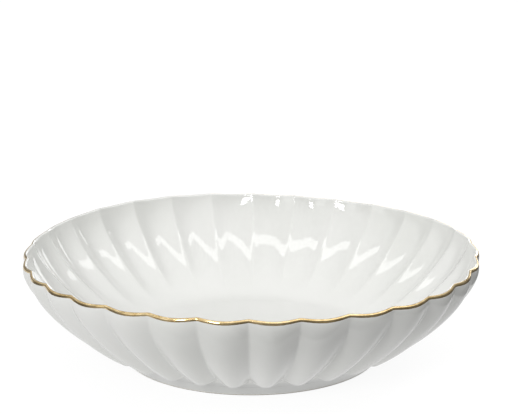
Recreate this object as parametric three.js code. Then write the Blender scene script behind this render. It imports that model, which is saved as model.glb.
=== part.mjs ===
// A shallow porcelain serving bowl: a ribbed, glazed body on a glazed foot ring with an unglazed
// ground edge, and a gilt band fired over its scalloped lip.
// Millimetres, +Z up, origin at the centre of the plane that the bowl stands on.
import * as THREE from 'three';

// Whole bowl
const RIB_COUNT = 30;            // creases at -Y and +Y, rib crests at -X and +X
const RIB_SHARPNESS = 1.1;       // 1 is a row of plain half-sine ribs with V creases
const RIM_RADIUS = 149.7;        // rib crests at the lip; the wall just below it reaches 150
const RIM_HEIGHT = 69.4;         // top of the lip on the rib crests
const CREASE_DEPTH = 1.9;        // how far the creases lie inside the crests at the lip
const CREASE_RISE = 1;           // how far the lip stands higher at the creases

// Lip and gilding
const LIP_THICKNESS = 2.6;
const GILT_THICKNESS = 0.25;
const GILT_INNER_ANGLE = THREE.MathUtils.degToRad(92);
const GILT_SHOULDER_ANGLE = THREE.MathUtils.degToRad(46);
const GILT_CREST_END = 0.982;    // shares of the outer wall lines at which the gilding ends
const GILT_CREASE_END = 0.986;
const LIP_INNER_ANGLE = THREE.MathUtils.degToRad(136);  // on the bare inner side of the lip

// Lower end of the ribs
const RIB_END_RADIUS = 100;
const RIB_END_HEIGHT = 10.8;
const ROOT_RADIUS = 98.8;        // the creases run out here, on the flare of the foot
const ROOT_HEIGHT = 15.6;

// Well and base
const WELL_RADIUS = 72.5;
const WELL_HEIGHT = 12;
const BASE_HEIGHT = 7.4;         // underside of the base, inside the foot ring

// Foot
const FOOT_RADIUS = 84.2;        // outside, just above the ground edge
const FOOT_INNER_RADIUS = 80;
const FOOT_FILLET_RADIUS = 2.6;
const EDGE_HEIGHT = 0.8;         // height of the unglazed ground edge
const EDGE_BEVEL = 0.6;

// Slight sag that the rim takes in the kiln: waves round the rim, their height and the direction
// of a high point, in degrees round from -Y towards +X
const SWAY = [
  { waves: 2, height: 0.3, direction: 38 },
  { waves: 3, height: 0.9, direction: -18.9 },
  { waves: 4, height: 0.2, direction: 20 },
];

// Fineness of the solids
const COLUMNS_PER_RIB = 6;
const FOOT_COLUMNS = 90;
const INNER_ROWS = 8;
const OUTER_ROWS = 8;
const FOOT_ROWS = 4;

const point = (radius, height) => new THREE.Vector2(radius, height);
const LIP_RADIUS = LIP_THICKNESS / 2;
const WALL_TOP = RIM_HEIGHT - LIP_RADIUS;

// Upright sections of the wall, each as one line through a rib crest and one through a crease
const OUTER_WALL = {
  crest: new THREE.CubicBezierCurve(
    point(RIB_END_RADIUS, RIB_END_HEIGHT),
    point(122.5, 24),
    point(RIM_RADIUS + 3.4, 53),
    point(RIM_RADIUS, WALL_TOP),
  ),
  crease: new THREE.CubicBezierCurve(
    point(ROOT_RADIUS, ROOT_HEIGHT),
    point(120.1, 27.5),
    point(RIM_RADIUS - 1.2, 54.5),
    point(RIM_RADIUS - CREASE_DEPTH, WALL_TOP + CREASE_RISE),
  ),
};
const INNER_WALL = {
  crest: new THREE.CubicBezierCurve(
    point(WELL_RADIUS, WELL_HEIGHT),
    point(109.3, WELL_HEIGHT),
    point(145, 50.4),
    point(RIM_RADIUS - LIP_THICKNESS, WALL_TOP),
  ),
  crease: new THREE.CubicBezierCurve(
    point(WELL_RADIUS, WELL_HEIGHT),
    point(101, WELL_HEIGHT),
    point(140.8, 49.8),
    point(RIM_RADIUS - CREASE_DEPTH - LIP_THICKNESS, WALL_TOP + CREASE_RISE),
  ),
};
// The flutes inside fade out between these shares of the inner wall line
const FLUTE_FADE_START = 0.12;
const FLUTE_FADE_END = 0.5;
const FLUTE_MEAN = 0.55;

// Flare of the foot, from the ground edge up to the roots of the creases
const FLARE = new THREE.QuadraticBezierCurve(
  point(FOOT_RADIUS, EDGE_HEIGHT),
  point(86.8, 5.4),
  point(ROOT_RADIUS, ROOT_HEIGHT),
);
const FLARE_UNDER_RIBS = 0.71;   // shares of the flare at which the rib ends and the creases
const FLARE_UNDER_CREASES = 0.88;  // meet it
const FLARE_AT_BASE = shareAtHeight(FLARE, BASE_HEIGHT);

// Share of a rising line at which it reaches a height
function shareAtHeight(line, height) {
  let low = 0;
  let high = 1;
  for (let step = 0; step < 40; step += 1) {
    const middle = (low + high) / 2;
    if (line.getPoint(middle).y < height) low = middle;
    else high = middle;
  }
  return low;
}

// A station is one ring of the surface: its point on a rib crest, its point in a crease, and how
// far the ribs show on it
const station = (crest, crease = crest, relief = 1) => ({ crest, crease, relief });

const outerWall = (crestShare, creaseShare, inset = 0) => station(
  OUTER_WALL.crest.getPoint(crestShare).sub(point(inset, 0)),
  OUTER_WALL.crease.getPoint(creaseShare).sub(point(inset, 0)),
);

const innerWall = (share) => station(
  INNER_WALL.crest.getPoint(share),
  INNER_WALL.crease.getPoint(share),
  THREE.MathUtils.smoothstep(share, FLUTE_FADE_START, FLUTE_FADE_END),
);

// The lip is a half round: 0 is its outer side, 90 degrees its top
function lip(angle, inset = 0) {
  const reach = LIP_RADIUS - inset;
  const offset = point(reach * Math.cos(angle), reach * Math.sin(angle));
  const crest = point(RIM_RADIUS - LIP_RADIUS, WALL_TOP).add(offset);
  return station(crest, crest.clone().add(point(-CREASE_DEPTH, CREASE_RISE)));
}

// Evenly spaced shares of a line, both ends included
const shares = (from, to, rows) => (
  Array.from({ length: rows + 1 }, (unused, row) => from + ((to - from) * row) / rows)
);

// Lift of the rim at an angle, from the sag
function rimSway(angle) {
  const lift = ({ waves, height, direction }) => (
    height * Math.cos(waves * (angle - THREE.MathUtils.degToRad(direction)))
  );
  return SWAY.reduce((sum, wave) => sum + lift(wave), 0);
}

// Height of the ribs round the bowl: 0 in a crease, 1 on a crest
const ribHeight = (angle) => Math.abs(Math.sin((RIB_COUNT * angle) / 2)) ** RIB_SHARPNESS;

// Place on the surface; the angle runs round from -Y towards +X
function surfacePoint({ crest, crease, relief }, angle) {
  const rib = THREE.MathUtils.lerp(FLUTE_MEAN, ribHeight(angle), relief);
  const place = crease.clone().lerp(crest, rib);
  const climb = Math.max(0, (place.y - ROOT_HEIGHT) / (RIM_HEIGHT - ROOT_HEIGHT));
  const height = place.y + rimSway(angle) * climb ** 2;
  return [place.x * Math.sin(angle), -place.x * Math.cos(angle), height];
}

// Sweeps stations round the axis. They run clockwise in an (radius, height) section. An open run
// is closed by a point on the axis at each end; a closed run returns to its first station.
function sweep(stations, columns, { open = false, otherDiagonal = false } = {}) {
  const positions = [];
  for (const ring of stations) {
    for (let column = 0; column < columns; column += 1) {
      positions.push(...surfacePoint(ring, (2 * Math.PI * column) / columns));
    }
  }
  const vertex = (row, column) => (row % stations.length) * columns + (column % columns);
  const indices = [];
  const intervals = open ? stations.length - 1 : stations.length;
  for (let row = 0; row < intervals; row += 1) {
    for (let column = 0; column < columns; column += 1) {
      const a = vertex(row, column);
      const b = vertex(row + 1, column);
      const c = vertex(row + 1, column + 1);
      const d = vertex(row, column + 1);
      if (otherDiagonal) indices.push(a, b, d, b, c, d);
      else indices.push(a, b, c, a, c, d);
    }
  }
  if (open) {
    const last = stations.length - 1;
    const firstPole = positions.length / 3;
    const lastPole = firstPole + 1;
    positions.push(0, 0, stations[0].crest.y, 0, 0, stations[last].crest.y);
    for (let column = 0; column < columns; column += 1) {
      indices.push(firstPole, vertex(0, column), vertex(0, column + 1));
      indices.push(lastPole, vertex(last, column + 1), vertex(last, column));
    }
  }
  const geometry = new THREE.BufferGeometry();
  geometry.setAttribute('position', new THREE.Float32BufferAttribute(positions, 3));
  geometry.setIndex(indices);
  geometry.computeVertexNormals();
  return geometry;
}

// Gilding on the lip from its inner edge to its lower edge on the wall, or the seat beneath it
const giltRun = (inset) => [
  lip(GILT_INNER_ANGLE, inset),
  lip(GILT_SHOULDER_ANGLE, inset),
  lip(0, inset),
  outerWall(GILT_CREST_END, GILT_CREASE_END, inset),
];

// Rounded lower ends of the ribs, and the foot's flare below them down to the base
function ribEnds() {
  return [
    station(
      point(RIB_END_RADIUS - 1.4, RIB_END_HEIGHT - 0.6),
      point(ROOT_RADIUS - 0.6, ROOT_HEIGHT - 0.6),
    ),
    station(FLARE.getPoint(FLARE_UNDER_RIBS), FLARE.getPoint(FLARE_UNDER_CREASES)),
    station(FLARE.getPoint(FLARE_AT_BASE)),
  ];
}

function bowlBody() {
  const stations = [
    ...shares(0, 1, INNER_ROWS).map((share) => innerWall(share)),
    lip(LIP_INNER_ANGLE),
    lip(GILT_INNER_ANGLE),
    ...giltRun(GILT_THICKNESS),
    ...shares(1, 0, OUTER_ROWS).map((share) => (
      outerWall(GILT_CREST_END * share, GILT_CREASE_END * share)
    )),
    ...ribEnds(),
  ];
  return sweep(stations, RIB_COUNT * COLUMNS_PER_RIB, { open: true });
}

function giltRim() {
  const stations = [...giltRun(0), ...giltRun(GILT_THICKNESS).reverse()];
  return sweep(stations, RIB_COUNT * COLUMNS_PER_RIB, { otherDiagonal: true });
}

// Glazed ring from the base down to the ground edge, with a fillet inside its upper end
function footRing() {
  const filletRadius = FOOT_INNER_RADIUS - FOOT_FILLET_RADIUS;
  const stations = [
    station(point(filletRadius, BASE_HEIGHT)),
    ...shares(FLARE_AT_BASE, 0, FOOT_ROWS).map((share) => station(FLARE.getPoint(share))),
    station(point(FOOT_INNER_RADIUS, EDGE_HEIGHT)),
    station(point(FOOT_INNER_RADIUS, BASE_HEIGHT - FOOT_FILLET_RADIUS)),
    station(point(
      FOOT_INNER_RADIUS - 0.3 * FOOT_FILLET_RADIUS,
      BASE_HEIGHT - 0.3 * FOOT_FILLET_RADIUS,
    )),
  ];
  return sweep(stations, FOOT_COLUMNS);
}

// Bare porcelain, ground flat, that the bowl stands on
function contactEdge() {
  const stations = [
    station(point(FOOT_INNER_RADIUS, EDGE_HEIGHT)),
    station(point(FOOT_RADIUS, EDGE_HEIGHT)),
    station(point(FOOT_RADIUS - EDGE_BEVEL, 0)),
    station(point(FOOT_INNER_RADIUS + EDGE_BEVEL, 0)),
  ];
  return sweep(stations, FOOT_COLUMNS);
}

const glaze = () => new THREE.MeshStandardMaterial({ color: 0xf2f3ee, roughness: 0.08, metalness: 0 });
const gold = () => new THREE.MeshStandardMaterial({ color: 0xc79a4b, roughness: 0.25, metalness: 1 });
const bisque = () => new THREE.MeshStandardMaterial({ color: 0xe9e4d8, roughness: 0.85, metalness: 0 });

function namedMesh(name, geometry, material) {
  const mesh = new THREE.Mesh(geometry, material);
  mesh.name = name;
  return mesh;
}

const servingBowl = new THREE.Group();
servingBowl.add(
  namedMesh('bowl_body', bowlBody(), glaze()),
  namedMesh('foot_ring', footRing(), glaze()),
  namedMesh('foot_contact_edge', contactEdge(), bisque()),
  namedMesh('gilt_rim', giltRim(), gold()),
);

export default servingBowl;
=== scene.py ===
import math

import bpy
import numpy as np
from mathutils import Euler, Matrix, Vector

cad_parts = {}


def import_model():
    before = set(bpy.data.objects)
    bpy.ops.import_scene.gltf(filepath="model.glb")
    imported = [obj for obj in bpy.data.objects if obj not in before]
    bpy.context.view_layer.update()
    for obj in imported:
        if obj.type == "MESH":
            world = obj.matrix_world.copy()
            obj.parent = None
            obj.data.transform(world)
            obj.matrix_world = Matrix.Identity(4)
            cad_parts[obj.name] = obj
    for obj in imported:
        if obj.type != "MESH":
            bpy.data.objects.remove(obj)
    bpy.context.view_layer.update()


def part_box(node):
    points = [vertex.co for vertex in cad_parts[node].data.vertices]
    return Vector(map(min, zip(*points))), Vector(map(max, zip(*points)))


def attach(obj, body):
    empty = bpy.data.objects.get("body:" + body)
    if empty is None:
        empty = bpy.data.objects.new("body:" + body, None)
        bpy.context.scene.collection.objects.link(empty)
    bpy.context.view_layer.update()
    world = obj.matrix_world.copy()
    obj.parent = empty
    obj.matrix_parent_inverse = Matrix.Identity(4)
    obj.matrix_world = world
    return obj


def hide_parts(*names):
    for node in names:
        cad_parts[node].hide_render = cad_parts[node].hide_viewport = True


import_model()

# A shallow porcelain serving bowl: a glazed body with thirty ribs, a gilt band over its scalloped
# lip, and a glazed foot ring with a bare ground edge. A crease faces -Y and +Y, a crest -X and +X.

# ---------------------------------------------------------------------------------------------
# Sizes. Radii and heights of the section are in millimetres, as in the CAD, and points of it are
# (radius, height). MM turns them into metres. The outermost ones come from the frame.
# ---------------------------------------------------------------------------------------------
MM = 0.001
BODY_LOW, BODY_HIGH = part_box("bowl_body")
RING_LOW, RING_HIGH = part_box("foot_ring")
EDGE_LOW, EDGE_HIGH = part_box("foot_contact_edge")

# Rim
RIBS = 30
WALL_BULGE = 0.26                # how far the wall reaches beyond the lip
RIM_RADIUS = BODY_HIGH.x / MM - WALL_BULGE
RIM_HEIGHT = 69.4                # top of the lip on the rib crests
CREASE_DEPTH = 1.9               # how far the creases lie inside the crests at the lip
CREASE_RISE = 1.0                # how far the lip stands higher at the creases
LIP_THICKNESS = 2.6
LIP_RADIUS = LIP_THICKNESS / 2
WALL_TOP = RIM_HEIGHT - LIP_RADIUS

# Gilding
GILT_THICKNESS = 0.25
GILT_INNER_ANGLE = math.radians(92)
GILT_CREST_END = 0.982           # shares of the outer wall lines at which the gilding ends
GILT_CREASE_END = 0.986

# Lower end of the ribs
RIB_END = (100.0, 10.8)
ROOT = (98.8, 15.6)              # the creases run out here, on the flare of the foot
FLARE_UNDER_RIBS = 0.71          # shares of the flare at which the rounded rib ends meet it
FLARE_UNDER_CREASES = 0.88

# Well, base and foot
WELL = (72.5, 12.0)
BASE_HEIGHT = RING_HIGH.z / MM   # underside of the base, inside the foot ring
EDGE_TOP = EDGE_HIGH.z / MM      # top of the bare ground edge
FOOT_RADIUS = 84.2
FOOT_INNER_RADIUS = 80.0
FOOT_FILLET = 2.6
EDGE_BEVEL = 0.6
EDGE_DRAFT = 0.1                 # how far the sides of the ground edge lean in at half its height

# Shape of a rib between two creases
CREASE_SOFTNESS = 0.08           # 0 is a plain V in the crease
RIB_SHARPNESS = 1.05             # 1 is a row of plain half sines
WELL_SOFTNESS = 0.22             # inside, at the edge of the well
LIP_SOFTNESS = 0.08              # inside, at the lip
RIB_END_SOFTNESS = 0.04
FLAT_SHARE = 0.55                # where the surface lies between crease and crest with no ribs on it
RELIEF_FROM, RELIEF_TO = 0.12, 0.5  # shares of the inner wall over which its ribs come up

# Slight sway that the rim takes in the kiln: waves round the rim, their height and the direction
# of a high point, in degrees round from -Y toward +X
SWAY = ((2, 0.3, 38), (3, 0.9, -18.9), (4, 0.2, 20))

# Control points of the section's curves
OUTER_CREST = [RIB_END, (122.5, 24), (RIM_RADIUS + 3.4, 53), (RIM_RADIUS, WALL_TOP)]
OUTER_CREASE = [ROOT, (120.1, 27.5), (RIM_RADIUS - 1.2, 54.5),
                (RIM_RADIUS - CREASE_DEPTH, WALL_TOP + CREASE_RISE)]
INNER_CREST = [WELL, (109.3, 12), (145, 50.4), (RIM_RADIUS - LIP_THICKNESS, WALL_TOP)]
INNER_CREASE = [WELL, (101, 12), (140.8, 49.8),
                (RIM_RADIUS - CREASE_DEPTH - LIP_THICKNESS, WALL_TOP + CREASE_RISE)]
FLARE = [(FOOT_RADIUS, EDGE_TOP), (86.8, 5.4), ROOT]

# How the rounded rib ends leave the wall and arrive at the flare, as steps of (radius, height)
CREST_LEAVES, CREST_ARRIVES = (-1.6, -0.95), (3.0, -0.3)
CREASE_LEAVES, CREASE_ARRIVES = (-0.5, -0.4), (0.5, 0.5)

# Fineness of the meshes
COLUMNS_PER_RIB = 36
CREASE_CLOSENESS = 0.8           # 0 spaces the columns evenly, 1 crowds them into the creases
FOOT_COLUMNS = 360
WELL_RINGS = (18, 36, 54)        # radii of the rings on the flat of the well
BASE_RINGS = (83, 78, 40)        # and of those under the base
INNER_ROWS = 73
OUTER_ROWS = 72
BARE_LIP_ROWS = 5
GILT_LIP_ROWS = 14
GILT_WALL_ROWS = 4
RIB_END_ROWS = 14
FLARE_ROWS = 13
FOOT_ROWS = 25
FILLET_ROWS = 9
CURVE_SAMPLES = 4001
SHARP_ANGLE = math.radians(50)

# ---------------------------------------------------------------------------------------------
# Looks. Texture scales are per metre, places and bump distances are in metres.
# ---------------------------------------------------------------------------------------------
GLAZE_COLOURS = ((0.35, (0.655, 0.66, 0.635)), (0.65, (0.68, 0.682, 0.662)))
GLAZE_ROUGHNESS = 0.028
GLAZE_IOR = 1.52
FOOT_PAINTED_SHADE = (0.8, 0.8, 0.808)    # painted shade: the glaze colour is darkened low on the foot, under the bowl
FOOT_PAINTED_SHADE_TOP = 13.5 * MM
FOOT_PAINTED_SHADE_FULL = 9.0 * MM
GOLD_COLOURS = ((0.3, (0.5, 0.345, 0.145)), (0.6, (0.79, 0.62, 0.35)))
GOLD_ROUGHNESS = (0.22, 0.10)    # where it is worn, and where it is bright
BISQUE_COLOURS = ((0.3, (0.60, 0.56, 0.48)), (0.6, (0.78, 0.75, 0.68)))
BISQUE_ROUGHNESS = 0.85

# ---------------------------------------------------------------------------------------------
# Studio, in metres. A radiance of 1 is white.
# ---------------------------------------------------------------------------------------------
FLOOR_REACH = 20.0
FLOOR_COLOURS = ((0, (0.1128,) * 3), (1, (0.1272,) * 3))
FLOOR_ROUGHNESS = 0.9
FLOOR_GLOW = 0.9

# Soft lamps that lie on the floor: name, low corner, high corner and radiance
GROUND_PANELS = (
    ("ground_near", (-0.38, -0.16), (0.2, 0.5), 0.75),
    ("ground_back", (-0.6, 0.5), (0.55, 2.0), 1.0),
    ("ground_middle", (-0.5, -0.32), (0.02, -0.16), 0.45),
    ("ground_front", (-1.2, -1.2), (-0.1, -0.32), 0.22),
)
GROUND_PANEL_HEIGHT = 0.0003

# Softboxes: name, azimuth and elevation in degrees, distance, (width, height) and watts.
# Azimuth 0 is on the camera's side, 90 at the right.
SOFTBOXES = (
    ("front_box", -24, 24, 1.4, (0.26, 0.44), 7.5),
    ("key_box", -50, 12, 1.8, (0.8, 0.6), 2.2),
    ("back_box", 160, 12, 1.4, (1.2, 0.3), 3.2),
)
SOFTBOX_TARGET = Vector((0, 0, 0.04))

# Bends of the strip of lamps above the bowl, as (x, y)
STRIP_BENDS = ((-1.45, 0.7), (-0.89, 0.1), (-0.485, -0.19), (0.0, -0.3), (0.4, -0.31),
               (0.9, -0.18), (1.12, 0.08), (1.4, 0.5))
STRIP_HEIGHT = 1.44
STRIP_WIDTH = 0.2
STRIP_RADIANCE = 3.15

# Brightness of the room toward -X and toward +X, at these heights on a unit sphere
WORLD_HEIGHTS = (0.0, 0.2, 0.45, 0.8)
WORLD_LEFT = (0.55, 0.2, 1.1, 0.15)
WORLD_RIGHT = (0.55, 0.2, 0.3, 1.95)

# Camera
CAMERA_CENTRE = Vector((0, 0, 0.0695))  # the point that it is placed around
CAMERA_DISTANCE = 1.3
CAMERA_ELEVATION = math.radians(16.45)
CAMERA_AZIMUTH = math.radians(0.56)
CAMERA_PITCH = math.radians(15.175)
CAMERA_YAW = math.radians(0.252)
CAMERA_SENSOR = 36.0             # millimetres, as is the lens
CAMERA_LENS = 137.06358
CAMERA_CLIP = (0.05, 50)


# ---------------------------------------------------------------------------------------------
# Curves and stations. A station is one ring of the surface: its point on a rib crest, its point in
# a crease, how far the ribs show on it, how soft the creases are and how sharp the ribs.
# ---------------------------------------------------------------------------------------------
def bezier(points, shares):
    """Points of a Bezier curve of any degree at the given shares of it."""
    level = [np.outer(np.ones(len(shares)), p) for p in points]
    s = np.asarray(shares, float)[:, None]
    while len(level) > 1:
        level = [a * (1 - s) + b * s for a, b in zip(level, level[1:])]
    return level[0]


def share_at_height(points, height):
    """The share at which a rising curve reaches a height."""
    shares = np.linspace(0, 1, CURVE_SAMPLES)
    return float(np.interp(height, bezier(points, shares)[:, 1], shares))


def smoothstep(x, low, high):
    t = np.clip((np.asarray(x, float) - low) / (high - low), 0, 1)
    return t * t * (3 - 2 * t)


def stations(crest, crease=None, relief=1.0, softness=CREASE_SOFTNESS, sharpness=RIB_SHARPNESS):
    """Stations from points on a crest and in a crease. With no crease points they are round."""
    crest = np.atleast_2d(crest)
    crease = crest if crease is None else np.atleast_2d(crease)

    def for_each(value):
        return np.broadcast_to(np.asarray(value, float), (len(crest),)).copy()

    return {"crest": crest, "crease": crease, "relief": for_each(relief),
            "softness": for_each(softness), "sharpness": for_each(sharpness)}


def joined(*groups):
    return {key: np.concatenate([group[key] for group in groups]) for key in groups[0]}


def reversed_order(group):
    return {key: values[::-1] for key, values in group.items()}


def outer_wall(shares_crest, shares_crease, inset=0.0):
    crest = bezier(OUTER_CREST, shares_crest) - [inset, 0]
    crease = bezier(OUTER_CREASE, shares_crease) - [inset, 0]
    return stations(crest, crease)


def inner_wall(shares):
    relief = smoothstep(shares, RELIEF_FROM, RELIEF_TO)
    softness = WELL_SOFTNESS + (LIP_SOFTNESS - WELL_SOFTNESS) * shares
    return stations(bezier(INNER_CREST, shares), bezier(INNER_CREASE, shares), relief,
                    softness=softness, sharpness=1.0)


def lip(angles, inset=0.0):
    """The round of the lip. Angle 0 faces outward and a half turn faces the middle of the bowl."""
    reach = LIP_RADIUS - inset
    offset = np.stack([reach * np.cos(angles), reach * np.sin(angles)], 1)
    crest = np.array([RIM_RADIUS - LIP_RADIUS, WALL_TOP]) + offset
    return stations(crest, crest + [-CREASE_DEPTH, CREASE_RISE])


def gilt_run(inset):
    """The gilt part of the lip and then of the outer wall below it, set in by some depth."""
    wall_crest = np.linspace(1, GILT_CREST_END, GILT_WALL_ROWS)[1:]
    wall_crease = np.linspace(1, GILT_CREASE_END, GILT_WALL_ROWS)[1:]
    return joined(lip(np.linspace(GILT_INNER_ANGLE, 0, GILT_LIP_ROWS), inset),
                  outer_wall(wall_crest, wall_crease, inset))


def rib_ends():
    """Rounded lower ends of the ribs, then the flare below them down to the base."""
    end, root = np.array(RIB_END), np.array(ROOT)
    under, foot = bezier(FLARE, [FLARE_UNDER_RIBS, FLARE_UNDER_CREASES])
    turn = np.linspace(0, 1, RIB_END_ROWS)[1:]
    crest = bezier([end, end + CREST_LEAVES, under + CREST_ARRIVES, under], turn)
    crease = bezier([root, root + CREASE_LEAVES, foot + CREASE_ARRIVES, foot], turn)
    base = share_at_height(FLARE, BASE_HEIGHT)
    down = np.linspace(0, 1, FLARE_ROWS)[1:]
    flare_crest = bezier(FLARE, FLARE_UNDER_RIBS + (base - FLARE_UNDER_RIBS) * down)
    flare_crease = bezier(FLARE, FLARE_UNDER_CREASES + (base - FLARE_UNDER_CREASES) * down)
    return joined(stations(crest, crease, softness=RIB_END_SOFTNESS, sharpness=1.0),
                  stations(flare_crest, flare_crease, softness=RIB_END_SOFTNESS, sharpness=1.0))


# ---------------------------------------------------------------------------------------------
# Surfaces and meshes
# ---------------------------------------------------------------------------------------------
def rib_angles():
    """Angles round the bowl, closer together near the creases."""
    u = np.arange(RIBS * COLUMNS_PER_RIB) / COLUMNS_PER_RIB
    crowding = CREASE_CLOSENESS * np.sin(2 * math.pi * u) / (2 * math.pi)
    return (u - crowding) * 2 * math.pi / RIBS


def foot_angles():
    return np.linspace(0, 2 * math.pi, FOOT_COLUMNS, endpoint=False)


def surface(group, angles):
    """Positions in metres, one row for each station and one column for each angle."""
    wave = np.abs(np.sin(RIBS * angles / 2))[None, :]
    soft = group["softness"][:, None]
    rib = (np.sqrt(wave ** 2 + soft ** 2) - soft) / (np.sqrt(1 + soft ** 2) - soft)
    rib = rib ** group["sharpness"][:, None]
    relief = group["relief"][:, None]
    rib = FLAT_SHARE * (1 - relief) + rib * relief
    crest, crease = group["crest"], group["crease"]
    radius = crease[:, :1] + (crest[:, :1] - crease[:, :1]) * rib
    height = crease[:, 1:] + (crest[:, 1:] - crease[:, 1:]) * rib
    climb = np.clip((height - ROOT[1]) / (RIM_HEIGHT - ROOT[1]), 0, None) ** 2
    sway = sum(size * np.cos(waves * (angles - math.radians(at))) for waves, size, at in SWAY)
    height = height + climb * sway[None, :]
    return np.stack([radius * np.sin(angles), -radius * np.cos(angles), height], -1) * MM


def swept_mesh(name, grid, closed_section, poles=()):
    """A mesh from a grid of rings. poles are the heights, in metres, of points on the axis that
    close the first and the last ring."""
    rows, columns = grid.shape[:2]
    verts = grid.reshape(-1, 3).tolist()
    faces = []
    column = np.arange(columns)
    after = (column + 1) % columns
    for row in range(rows if closed_section else rows - 1):
        a = row * columns
        b = ((row + 1) % rows) * columns
        faces += np.stack([a + column, b + column, b + after, a + after], 1).tolist()
    if poles:
        first, last = len(verts), len(verts) + 1
        verts += [[0, 0, poles[0]], [0, 0, poles[1]]]
        end = (rows - 1) * columns
        faces += [[first, int(c), int(n)] for c, n in zip(column, after)]
        faces += [[last, int(end + n), int(end + c)] for c, n in zip(column, after)]
    mesh = bpy.data.meshes.new(name)
    mesh.from_pydata(verts, [], faces)
    mesh.validate()
    mesh.shade_smooth()
    mesh.set_sharp_from_angle(angle=SHARP_ANGLE)
    return mesh


def place_in_scene(name, data):
    obj = bpy.data.objects.new(name, data)
    bpy.context.scene.collection.objects.link(obj)
    return obj


def piece(name, mesh, material, slot, *nodes):
    obj = place_in_scene(name, mesh)
    mesh.materials.append(material)
    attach(obj, "root")
    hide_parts(*nodes)
    return obj


# ---------------------------------------------------------------------------------------------
# Materials
# ---------------------------------------------------------------------------------------------
def new_material(name):
    """A material, its node tree and its shader."""
    material = bpy.data.materials.new(name)
    material.use_nodes = True
    tree = material.node_tree
    return material, tree, tree.nodes["Principled BSDF"]


def noise(tree, place, scale, detail):
    texture = tree.nodes.new("ShaderNodeTexNoise")
    texture.inputs["Scale"].default_value = scale
    texture.inputs["Detail"].default_value = detail
    tree.links.new(place, texture.inputs["Vector"])
    return texture.outputs["Fac"]


def colour_ramp(tree, value, stops):
    """Colours between two stops of (position, colour)."""
    ramp = tree.nodes.new("ShaderNodeValToRGB")
    for element, (position, colour) in zip(ramp.color_ramp.elements, stops):
        element.position = position
        element.color = (*colour, 1)
    tree.links.new(value, ramp.inputs["Fac"])
    return ramp.outputs["Color"]


def roughen(tree, shader, height, strength, distance):
    """Bump from a height over the whole surface."""
    bump = tree.nodes.new("ShaderNodeBump")
    bump.inputs["Strength"].default_value = strength
    bump.inputs["Distance"].default_value = distance
    tree.links.new(height, bump.inputs["Height"])
    tree.links.new(bump.outputs["Normal"], shader.inputs["Normal"])


def painted_shade_below(tree, colour, place):
    """The colour, darkened low on the foot by a painted shade."""
    split = tree.nodes.new("ShaderNodeSeparateXYZ")
    tree.links.new(place, split.inputs["Vector"])
    low = tree.nodes.new("ShaderNodeMapRange")
    low.interpolation_type = "SMOOTHSTEP"
    low.inputs["From Min"].default_value = FOOT_PAINTED_SHADE_TOP
    low.inputs["From Max"].default_value = FOOT_PAINTED_SHADE_FULL
    tree.links.new(split.outputs["Z"], low.inputs["Value"])
    painted_shade_mix = tree.nodes.new("ShaderNodeMix")
    painted_shade_mix.data_type = "RGBA"
    painted_shade_mix.blend_type = "MULTIPLY"
    painted_shade_mix.inputs["B"].default_value = (*FOOT_PAINTED_SHADE, 1)
    tree.links.new(low.outputs["Result"], painted_shade_mix.inputs["Factor"])
    tree.links.new(colour, painted_shade_mix.inputs["A"])
    return painted_shade_mix.outputs["Result"]


def glaze_material():
    """A clear gloss over white, with a slight drift in its tone, painted shade low on the foot and a
    faint waviness.
    """
    material, tree, shader = new_material("white_glaze")
    place = tree.nodes.new("ShaderNodeTexCoord").outputs["Object"]
    drift = noise(tree, place, scale=14, detail=2)
    # Painted shade: the glaze colour is darkened low on the foot, where the bowl shades it.
    colour = painted_shade_below(tree, colour_ramp(tree, drift, GLAZE_COLOURS), place)
    tree.links.new(colour, shader.inputs["Base Color"])
    shader.inputs["Roughness"].default_value = GLAZE_ROUGHNESS
    shader.inputs["IOR"].default_value = GLAZE_IOR
    waviness = noise(tree, place, scale=45, detail=3)
    roughen(tree, shader, waviness, strength=0.06, distance=0.0006)
    return material


def gold_material():
    """Fired gold, duller and rougher where it is worn."""
    material, tree, shader = new_material("fired_gold")
    place = tree.nodes.new("ShaderNodeTexCoord").outputs["Object"]
    wear = noise(tree, place, scale=160, detail=5)
    tree.links.new(colour_ramp(tree, wear, GOLD_COLOURS), shader.inputs["Base Color"])
    shader.inputs["Metallic"].default_value = 1
    rough = tree.nodes.new("ShaderNodeMapRange")
    rough.inputs["To Min"].default_value = GOLD_ROUGHNESS[0]
    rough.inputs["To Max"].default_value = GOLD_ROUGHNESS[1]
    tree.links.new(wear, rough.inputs["Value"])
    tree.links.new(rough.outputs["Result"], shader.inputs["Roughness"])
    return material


def bisque_material():
    """Bare porcelain, ground flat and grainy."""
    material, tree, shader = new_material("bare_porcelain")
    place = tree.nodes.new("ShaderNodeTexCoord").outputs["Object"]
    grain = noise(tree, place, scale=900, detail=4)
    tree.links.new(colour_ramp(tree, grain, BISQUE_COLOURS), shader.inputs["Base Color"])
    shader.inputs["Roughness"].default_value = BISQUE_ROUGHNESS
    roughen(tree, shader, grain, strength=0.4, distance=0.0002)
    return material


def floor_material():
    """Plain and pale, with a glow of its own."""
    material, tree, shader = new_material("pale_floor")
    place = tree.nodes.new("ShaderNodeTexCoord").outputs["Generated"]
    grain = noise(tree, place, scale=40, detail=2)
    tree.links.new(colour_ramp(tree, grain, FLOOR_COLOURS), shader.inputs["Base Color"])
    shader.inputs["Roughness"].default_value = FLOOR_ROUGHNESS
    shader.inputs["Specular IOR Level"].default_value = 0.0
    shader.inputs["Emission Color"].default_value = (1, 1, 1, 1)
    shader.inputs["Emission Strength"].default_value = FLOOR_GLOW
    return material


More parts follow.
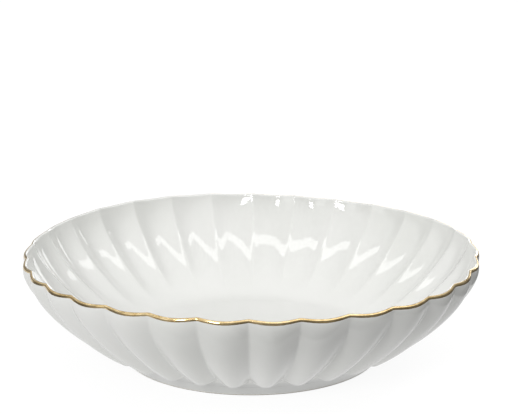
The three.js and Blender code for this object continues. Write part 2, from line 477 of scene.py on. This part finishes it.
# ---------------------------------------------------------------------------------------------
# Pieces
# ---------------------------------------------------------------------------------------------
def bowl_body(glaze):
    """The section runs from the middle of the well over the lip to the middle of the base."""
    down = np.linspace(0, 1, OUTER_ROWS)
    section = joined(
        stations(np.array([[radius, WELL[1]] for radius in WELL_RINGS])),
        inner_wall(np.linspace(0, 1, INNER_ROWS)),
        lip(np.linspace(math.pi, GILT_INNER_ANGLE, BARE_LIP_ROWS)[1:]),
        gilt_run(GILT_THICKNESS),
        outer_wall(GILT_CREST_END * (1 - down), GILT_CREASE_END * (1 - down)),
        rib_ends(),
        stations(np.array([[radius, BASE_HEIGHT] for radius in BASE_RINGS])),
    )
    mesh = swept_mesh("glazed_body", surface(section, rib_angles()), False,
                      poles=(WELL[1] * MM, BASE_HEIGHT * MM))
    return piece("glazed_body", mesh, glaze, "glaze_white", "bowl_body")


def gilt_band(gold):
    section = joined(gilt_run(0.0), reversed_order(gilt_run(GILT_THICKNESS)))
    mesh = swept_mesh("gilt_lip_band", surface(section, rib_angles()), True)
    return piece("gilt_lip_band", mesh, gold, "gilding", "gilt_rim")


def foot_ring(glaze):
    """The flare outside, and inside a plain wall with a fillet under the base."""
    base = share_at_height(FLARE, BASE_HEIGHT)
    fillet = np.linspace(0, math.pi / 2, FILLET_ROWS)
    inner = np.stack([FOOT_INNER_RADIUS - FOOT_FILLET * (1 - np.cos(fillet)),
                      BASE_HEIGHT - FOOT_FILLET * (1 - np.sin(fillet))], 1)
    section = joined(
        stations(bezier(FLARE, np.linspace(base, 0, FOOT_ROWS))),
        stations(np.array([[FOOT_INNER_RADIUS, EDGE_TOP]])),
        stations(inner),
    )
    mesh = swept_mesh("glazed_foot_ring", surface(section, foot_angles()), True)
    return piece("glazed_foot_ring", mesh, glaze, "glaze_white", "foot_ring")


def contact_edge(bisque):
    section = stations(np.array([
        [FOOT_INNER_RADIUS, EDGE_TOP],
        [FOOT_RADIUS, EDGE_TOP],
        [FOOT_RADIUS - EDGE_DRAFT, EDGE_TOP / 2],
        [FOOT_RADIUS - EDGE_BEVEL, 0],
        [FOOT_INNER_RADIUS + EDGE_BEVEL, 0],
        [FOOT_INNER_RADIUS + EDGE_DRAFT, EDGE_TOP / 2],
    ]))
    mesh = swept_mesh("unglazed_edge", surface(section, foot_angles()), True)
    return piece("unglazed_edge", mesh, bisque, "unglazed_edge", "foot_contact_edge")


# ---------------------------------------------------------------------------------------------
# Stage: floor, light and camera
# ---------------------------------------------------------------------------------------------
def floor():
    """A plain pale floor. Its glow lights only itself, so that the lamps alone shape the bowl."""
    mesh = bpy.data.meshes.new("floor")
    reach = FLOOR_REACH
    corners = [(-reach, -reach, 0), (reach, -reach, 0), (reach, reach, 0), (-reach, reach, 0)]
    mesh.from_pydata(corners, [], [(0, 1, 2, 3)])
    mesh.materials.append(floor_material())
    obj = place_in_scene("floor", mesh)
    lit = bpy.data.collections.new("lit_by_floor")
    lit.objects.link(obj)
    obj.light_linking.receiver_collection = lit


def area_light(name, size, power):
    """A rectangular lamp of (width, height) in metres and a power in watts."""
    light = bpy.data.lights.new(name, "AREA")
    light.shape = "RECTANGLE"
    light.size, light.size_y = size
    light.energy = power
    return place_in_scene(name, light)


def power_for(radiance, size):
    """The watts that give a lamp of that size a radiance."""
    return radiance * math.pi * size[0] * size[1]


def ground_panels():
    """Lamps that lie on the floor and face up, for the light that a floor throws back. The camera
    doesn't see them."""
    for name, low, high, radiance in GROUND_PANELS:
        size = Vector(high) - Vector(low)
        middle = (Vector(high) + Vector(low)) / 2
        obj = area_light(name, size, power_for(radiance, size))
        obj.location = (middle.x, middle.y, GROUND_PANEL_HEIGHT)
        obj.rotation_euler = (math.pi, 0, 0)
        obj.visible_camera = False


def softboxes():
    """Lamps around the bowl, each aimed at it. The camera doesn't see them."""
    for name, azimuth, elevation, distance, size, power in SOFTBOXES:
        a, e = math.radians(azimuth), math.radians(elevation)
        away = Vector((math.sin(a) * math.cos(e), -math.cos(a) * math.cos(e), math.sin(e)))
        obj = area_light(name, size, power)
        obj.location = SOFTBOX_TARGET + away * distance
        obj.rotation_euler = (-away).to_track_quat("-Z", "Y").to_euler()
        obj.visible_camera = False


def strip_light():
    """A bent strip of flat lamps above the bowl, open toward +Y."""
    for number, (start, end) in enumerate(zip(STRIP_BENDS, STRIP_BENDS[1:])):
        run = Vector(end) - Vector(start)
        middle = (Vector(start) + Vector(end)) / 2
        size = (run.length, STRIP_WIDTH)
        obj = area_light(f"strip_{number}", size, power_for(STRIP_RADIANCE, size))
        obj.location = (middle.x, middle.y, STRIP_HEIGHT)
        obj.rotation_euler = (0, 0, math.atan2(run.y, run.x))


def brightness_by_height(tree, height, values):
    """The values at WORLD_HEIGHTS, with straight runs between them."""
    ramp = tree.nodes.new("ShaderNodeValToRGB")
    elements = ramp.color_ramp.elements
    while len(elements) < len(values):
        elements.new(0.5)
    for element, position, value in zip(elements, WORLD_HEIGHTS, values):
        element.position = position
        element.color = (value, value, value, 1)
    tree.links.new(height, ramp.inputs["Fac"])
    return ramp.outputs["Color"]


def world():
    """A room that is brightest halfway up at the left and overhead at the right."""
    room = bpy.data.worlds.new("studio")
    bpy.context.scene.world = room
    room.use_nodes = True
    tree = room.node_tree
    split = tree.nodes.new("ShaderNodeSeparateXYZ")
    direction = tree.nodes.new("ShaderNodeTexCoord").outputs["Generated"]
    tree.links.new(direction, split.inputs["Vector"])
    left = brightness_by_height(tree, split.outputs["Z"], WORLD_LEFT)
    right = brightness_by_height(tree, split.outputs["Z"], WORLD_RIGHT)
    across = tree.nodes.new("ShaderNodeMapRange")
    across.inputs["From Min"].default_value = -1.0
    across.inputs["From Max"].default_value = 1.0
    tree.links.new(split.outputs["X"], across.inputs["Value"])
    mixed = tree.nodes.new("ShaderNodeMix")
    mixed.data_type = "FLOAT"
    tree.links.new(across.outputs["Result"], mixed.inputs["Factor"])
    tree.links.new(left, mixed.inputs["A"])
    tree.links.new(right, mixed.inputs["B"])
    background = tree.nodes["Background"]
    background.inputs["Color"].default_value = (1, 1, 1, 1)
    tree.links.new(mixed.outputs["Result"], background.inputs["Strength"])


def camera():
    """A long lens that looks down at the bowl from the front."""
    data = bpy.data.cameras.new("camera")
    data.sensor_width = CAMERA_SENSOR
    data.lens = CAMERA_LENS
    data.clip_start, data.clip_end = CAMERA_CLIP
    obj = place_in_scene("camera", data)
    level = CAMERA_DISTANCE * math.cos(CAMERA_ELEVATION)
    away = Vector((level * math.sin(CAMERA_AZIMUTH), -level * math.cos(CAMERA_AZIMUTH),
                   CAMERA_DISTANCE * math.sin(CAMERA_ELEVATION)))
    obj.location = CAMERA_CENTRE + away
    obj.rotation_euler = Euler((math.pi / 2 - CAMERA_PITCH, 0, CAMERA_AZIMUTH - CAMERA_YAW))
    bpy.context.scene.camera = obj


glaze = glaze_material()
bowl_body(glaze)
gilt_band(gold_material())
foot_ring(glaze)
contact_edge(bisque_material())
floor()
ground_panels()
world()
strip_light()
softboxes()
camera()
bpy.context.scene.view_settings.view_transform = "Standard"
